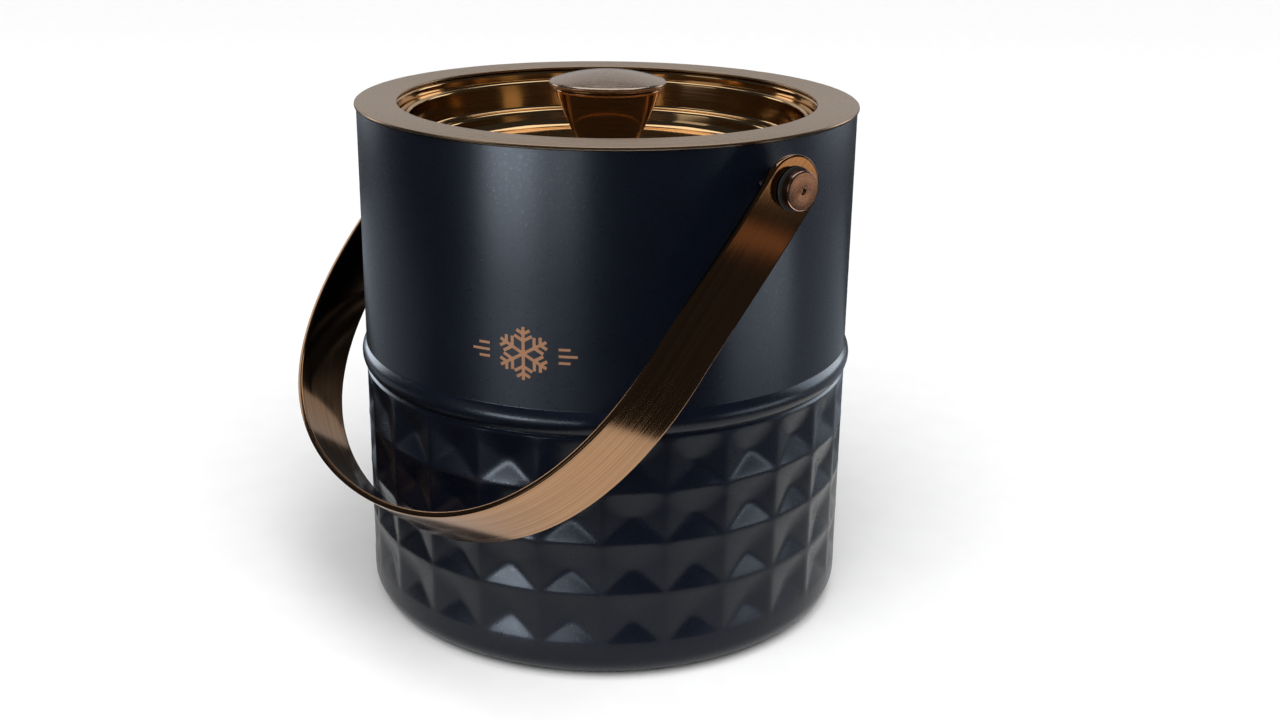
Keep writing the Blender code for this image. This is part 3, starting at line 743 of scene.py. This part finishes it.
def pivot_pieces(name, side, pivot, finishes):
    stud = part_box(name + "_pivot_stud")
    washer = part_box(name + "_pivot_washer")
    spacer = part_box(name + "_pivot_spacer")
    ends = {part: sorted((abs(box[0].x), abs(box[1].x)))
            for part, box in (("stud", stud), ("washer", washer), ("spacer", spacer))}
    head = stud[1].y
    inner, top = ends["stud"]
    under = ends["washer"][1] + PIVOT_GAP
    points = [(0.0, top - DIMPLE_DEPTH, 0.0), (DIMPLE_RADIUS * 0.8, top - DIMPLE_DEPTH, 0.0)]
    points += [(DIMPLE_RADIUS, top, DIMPLE_EDGE), (head, top, STUD_EDGE), (head, under, STUD_BACK_EDGE)]
    points += [(STUD_SHANK, under, 0.0), (STUD_SHANK, inner, STUD_TIP_EDGE), (0.0, inner, 0.0)]
    item = turned(name + "_stud", softened(points), SMALL_STEPS, closed=False)
    on_pivot(item, side, pivot)
    fitted(item, "bucket", "stud_metal", finishes["stud_metal"], name + "_pivot_stud")
    rings = (("washer", washer, "nylon", WASHER_EDGE), ("spacer", spacer, "stud_metal", SPACER_EDGE))
    for part, box, slot, edge in rings:
        near, far = ends[part]
        radius = box[1].y
        points = [(SCREW_HOLE, far, edge / 2), (radius, far, edge)]
        points += [(radius, near, edge), (SCREW_HOLE, near, edge / 2)]
        item = turned(name + "_" + part, softened(points, closed=True), SMALL_STEPS)
        on_pivot(item, side, pivot)
        fitted(item, "bucket", slot, finishes[slot], name + "_pivot_" + part)


# --- motif ----------------------------------------------------------------------------

def strip(start, end, width, start_cut=0.0):
    """Corners of a bar from start to end, its first end cut back on one side."""
    along = (end - start).normalized()
    side = Vector((-along.y, along.x)) * (width / 2)
    return [start + side + along * start_cut, start - side - along * start_cut, end - side, end + side]


def motif_bars():
    """A six-armed frost star between two sets of three short bars, as flat four-sided shapes."""
    bars = []
    hub = MOTIF_LINE
    for arm in range(6):
        turn = Matrix.Rotation(math.radians(90 + 60 * arm), 2)
        out = turn @ Vector((1.0, 0.0))
        bars.append(strip(out * hub, out * MOTIF_ARM, MOTIF_LINE))
        for side in (1, -1):
            for share, reach in BRANCHES:
                branch = turn @ (Matrix.Rotation(side * BRANCH_TURN, 2) @ Vector((1.0, 0.0)))
                root = out * (MOTIF_ARM * share) + branch * (MOTIF_LINE / 2 / math.sin(BRANCH_TURN))
                cut = side * MOTIF_LINE / 2 / math.tan(BRANCH_TURN)
                bars.append(strip(root, root + branch * (MOTIF_ARM * reach), MOTIF_LINE, -cut))
    for side in (1, -1):
        for level, far in ((0, BAR_FAR), (1, BAR_FAR * BAR_SHORT), (-1, BAR_FAR * BAR_SHORT)):
            near = Vector((side * BAR_NEAR, level * BAR_PITCH))
            bars.append(strip(near, Vector((side * far, level * BAR_PITCH)), MOTIF_LINE * BAR_LINE))
    corners = [Matrix.Rotation(math.radians(60 * i), 2) @ Vector((hub * 1.15, 0.0)) for i in range(6)]
    bars += [corners[:4], corners[3:] + corners[:1]]
    return bars


def front_motif(material):
    """The motif as a thin plate that follows the wall's curve."""
    def wrapped(point, proud):
        angle = MOTIF_TURN + point.x / UPPER_RADIUS
        radius = UPPER_RADIUS + proud
        return radius * math.cos(angle), radius * math.sin(angle), MOTIF_HEIGHT + point.y

    verts, faces = [], []
    slices = 4
    for a, b, c, d in motif_bars():
        first = len(verts)
        for i in range(slices + 1):
            left, right = a.lerp(d, i / slices), b.lerp(c, i / slices)
            for proud in (MOTIF_PROUD, -MOTIF_PROUD):
                verts += [wrapped(left, proud), wrapped(right, proud)]
        for i in range(slices):
            p, q = first + 4 * i, first + 4 * (i + 1)
            faces += [[p, p + 1, q + 1, q], [p + 2, q + 2, q + 3, p + 3]]
            faces += [[p, q, q + 2, p + 2], [p + 1, p + 3, q + 3, q + 1]]
        last = first + 4 * slices
        faces += [[first, first + 2, first + 3, first + 1], [last, last + 1, last + 3, last + 2]]
    fitted(mesh_object("front_motif", verts, faces), "bucket", "stud_metal", material)


# --- stage ----------------------------------------------------------------------------

def stage_piece(name, verts, faces, material, **seen_by):
    item = mesh_object(name, verts, faces)
    item.location.z = FLOOR_DROP
    item.data.materials.append(material)
    for rays, seen in seen_by.items():
        setattr(item, "visible_" + rays, seen)


def ring_of(radius, height, centre=(0.0, 0.0), steps=128):
    turns = [2 * math.pi * i / steps for i in range(steps)]
    return [(centre[0] + radius * math.cos(a), centre[1] + radius * math.sin(a), height) for a in turns]


def floor():
    """A pale sheet under the bucket, and the pale floor and lit backdrop that go on round it.

    Only the sheet shows in the metal, whose reflections otherwise come from the softboxes."""
    paper = Finish("studio_paper", 0.0, Specular_IOR_Level=0.2)
    grain = paper.noise(paper.place(), 60.0, 2.0)
    paper.colours(grain, (0.86, 0.86, 0.86), (0.88, 0.88, 0.88))
    paper.roughness(grain, 0.55, 0.62)
    steps = 128
    inner = ring_of(SHEET_RADIUS, 0.0, from_camera(*SHEET_PLACE, 0.0))
    outer, top = ring_of(FLOOR_RADIUS, 0.0), ring_of(FLOOR_RADIUS, BACKDROP_TOP)
    band = [[i, (i + 1) % steps, steps + (i + 1) % steps, steps + i] for i in range(steps)]
    stage_piece("studio_sheet", inner, [list(range(steps))], paper.material)
    ground = [face[::-1] for face in band]
    stage_piece("studio_floor", inner + outer, ground, paper.material, glossy=False)
    white = (*WHITE, 1.0)
    glow = Finish("studio_backdrop", 0.0, Emission_Color=white, Emission_Strength=BACKDROP_GLOW)
    haze = glow.noise(glow.place(), 0.2, 1.0)
    glow.colours(haze, (0.0, 0.0, 0.0), (0.01, 0.01, 0.01))
    stage_piece("studio_backdrop", outer + top, band, glow.material, glossy=False, diffuse=False,
                shadow=False)


def from_camera(right, ahead, up):
    """A place measured from the bucket's foot as the camera sees it; ahead is towards the camera."""
    facing = Vector((math.cos(CAMERA_TURN), math.sin(CAMERA_TURN), 0.0))
    rightwards = Vector((-facing.y, facing.x, 0.0))
    return rightwards * right + facing * ahead + Vector((0.0, 0.0, up))


def softbox(name, place, target, width, height, radiance, colour, piece):
    """A panel that the camera doesn't see. It shows in gloss alone; the ceiling does the rest."""
    light = bpy.data.lights.new(name, "AREA")
    light.shape = "RECTANGLE"
    light.size = width
    light.size_y = height
    light.energy = radiance * math.pi * width * height
    light.color = colour
    item = bpy.data.objects.new(name, light)
    item.location = place
    item.rotation_euler = (target - place).to_track_quat("-Z", "Y").to_euler()
    item.visible_camera = False
    item.visible_diffuse = False
    bpy.context.scene.collection.objects.link(item)
    if piece:
        lit = bpy.data.collections.new(name + "_lights")
        lit.objects.link(piece)
        item.light_linking.receiver_collection = lit


def around(turn, distance, height):
    """A place by its degrees to the right of the camera's line, as seen from the bucket."""
    angle = math.radians(turn)
    return from_camera(distance * math.sin(angle), distance * math.cos(angle), height)


def ceiling():
    """Wide soft light for everything but gloss."""
    light = bpy.data.lights.new("ceiling", "SUN")
    light.energy = CEILING_ENERGY
    light.angle = CEILING_ANGLE
    item = bpy.data.objects.new("ceiling", light)
    item.rotation_euler = (CEILING_TILT, 0.0, CAMERA_TURN + math.pi / 2)
    item.visible_glossy = False
    bpy.context.scene.collection.objects.link(item)


def lights(shell, strap):
    """The near-black wall needs far stronger panels than the metal, so those light it alone."""
    pieces = {"shell": shell, "strap": strap, None: None}
    target = Vector((0.0, 0.0, LIGHT_TARGET))
    for name, turn, distance, height, width, tall, radiance, colour, lit in PANELS:
        place = around(turn, distance, height)
        softbox(name, place, target, width, tall, radiance, colour, pieces[lit])
    for name, turn in GROUND_PANELS:
        place = around(turn, GROUND_DISTANCE, GROUND_HEIGHT)
        above = place + Vector((0.0, 0.0, 1.0))
        softbox(name, place, above, GROUND_SIZE, GROUND_SIZE, GROUND_RADIANCE, COOL, shell)
    ceiling()
    world = bpy.data.worlds.new("studio")
    bpy.context.scene.world = world
    world.use_nodes = True
    shader = world.node_tree.nodes["Background"]
    shader.inputs["Color"].default_value = WORLD_COLOUR
    shader.inputs["Strength"].default_value = WORLD_STRENGTH
    bpy.context.scene.view_settings.view_transform = "Standard"


def camera():
    view = Matrix.Rotation(CAMERA_TURN + math.pi / 2, 4, "Z")
    view = view @ Matrix.Rotation(-CAMERA_YAW, 4, "Z")
    view = view @ Matrix.Rotation(math.pi / 2 - CAMERA_PITCH, 4, "X")
    view = view @ Matrix.Rotation(CAMERA_ROLL, 4, "Z")
    lens = bpy.data.cameras.new("camera")
    lens.lens = CAMERA_LENS
    lens.sensor_width = CAMERA_SENSOR
    lens.clip_start = 0.01
    item = bpy.data.objects.new("camera", lens)
    item.matrix_world = Matrix.Translation(from_camera(0.0, CAMERA_DISTANCE, CAMERA_HEIGHT)) @ view
    bpy.context.scene.collection.objects.link(item)
    bpy.context.scene.camera = item


# --- build ----------------------------------------------------------------------------

def refinish_cad(finishes):
    """Gives every CAD node that still shows its procedural finish."""
    names = {entry["node"]: entry["material_slot"] for entry in frame["record"]["subparts"]}
    for node, item in frame["nodes"].items():
        for slot in item.material_slots:
            slot.material = finishes[names[node]]


def build():
    finishes = all_finishes()
    refinish_cad(finishes)
    shell = outer_shell(finishes["shell_coating"])
    rim_ring(finishes["rim_metal"])
    inner_liner(finishes["copper_lining"])
    base_pad(finishes["rubber"])
    lid_pan(finishes["copper_lining"])
    lid_underside(finishes["copper_lining"])
    lid_seal(finishes["silicone"])
    knob_stem(finishes["knob_metal"])
    knob_cap(finishes["cap_metal"])
    strap = handle_strap(finishes["strap_metal"])
    pivot = Vector((0.0, 0.0, sum(corner.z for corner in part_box("right_pivot_stud")) / 2))
    for name, side in (("right", 1), ("left", -1)):
        pivot_pieces(name, side, pivot, finishes)
    front_motif(finishes["motif_metal"])
    floor()
    lights(shell, strap)
    camera()


build()
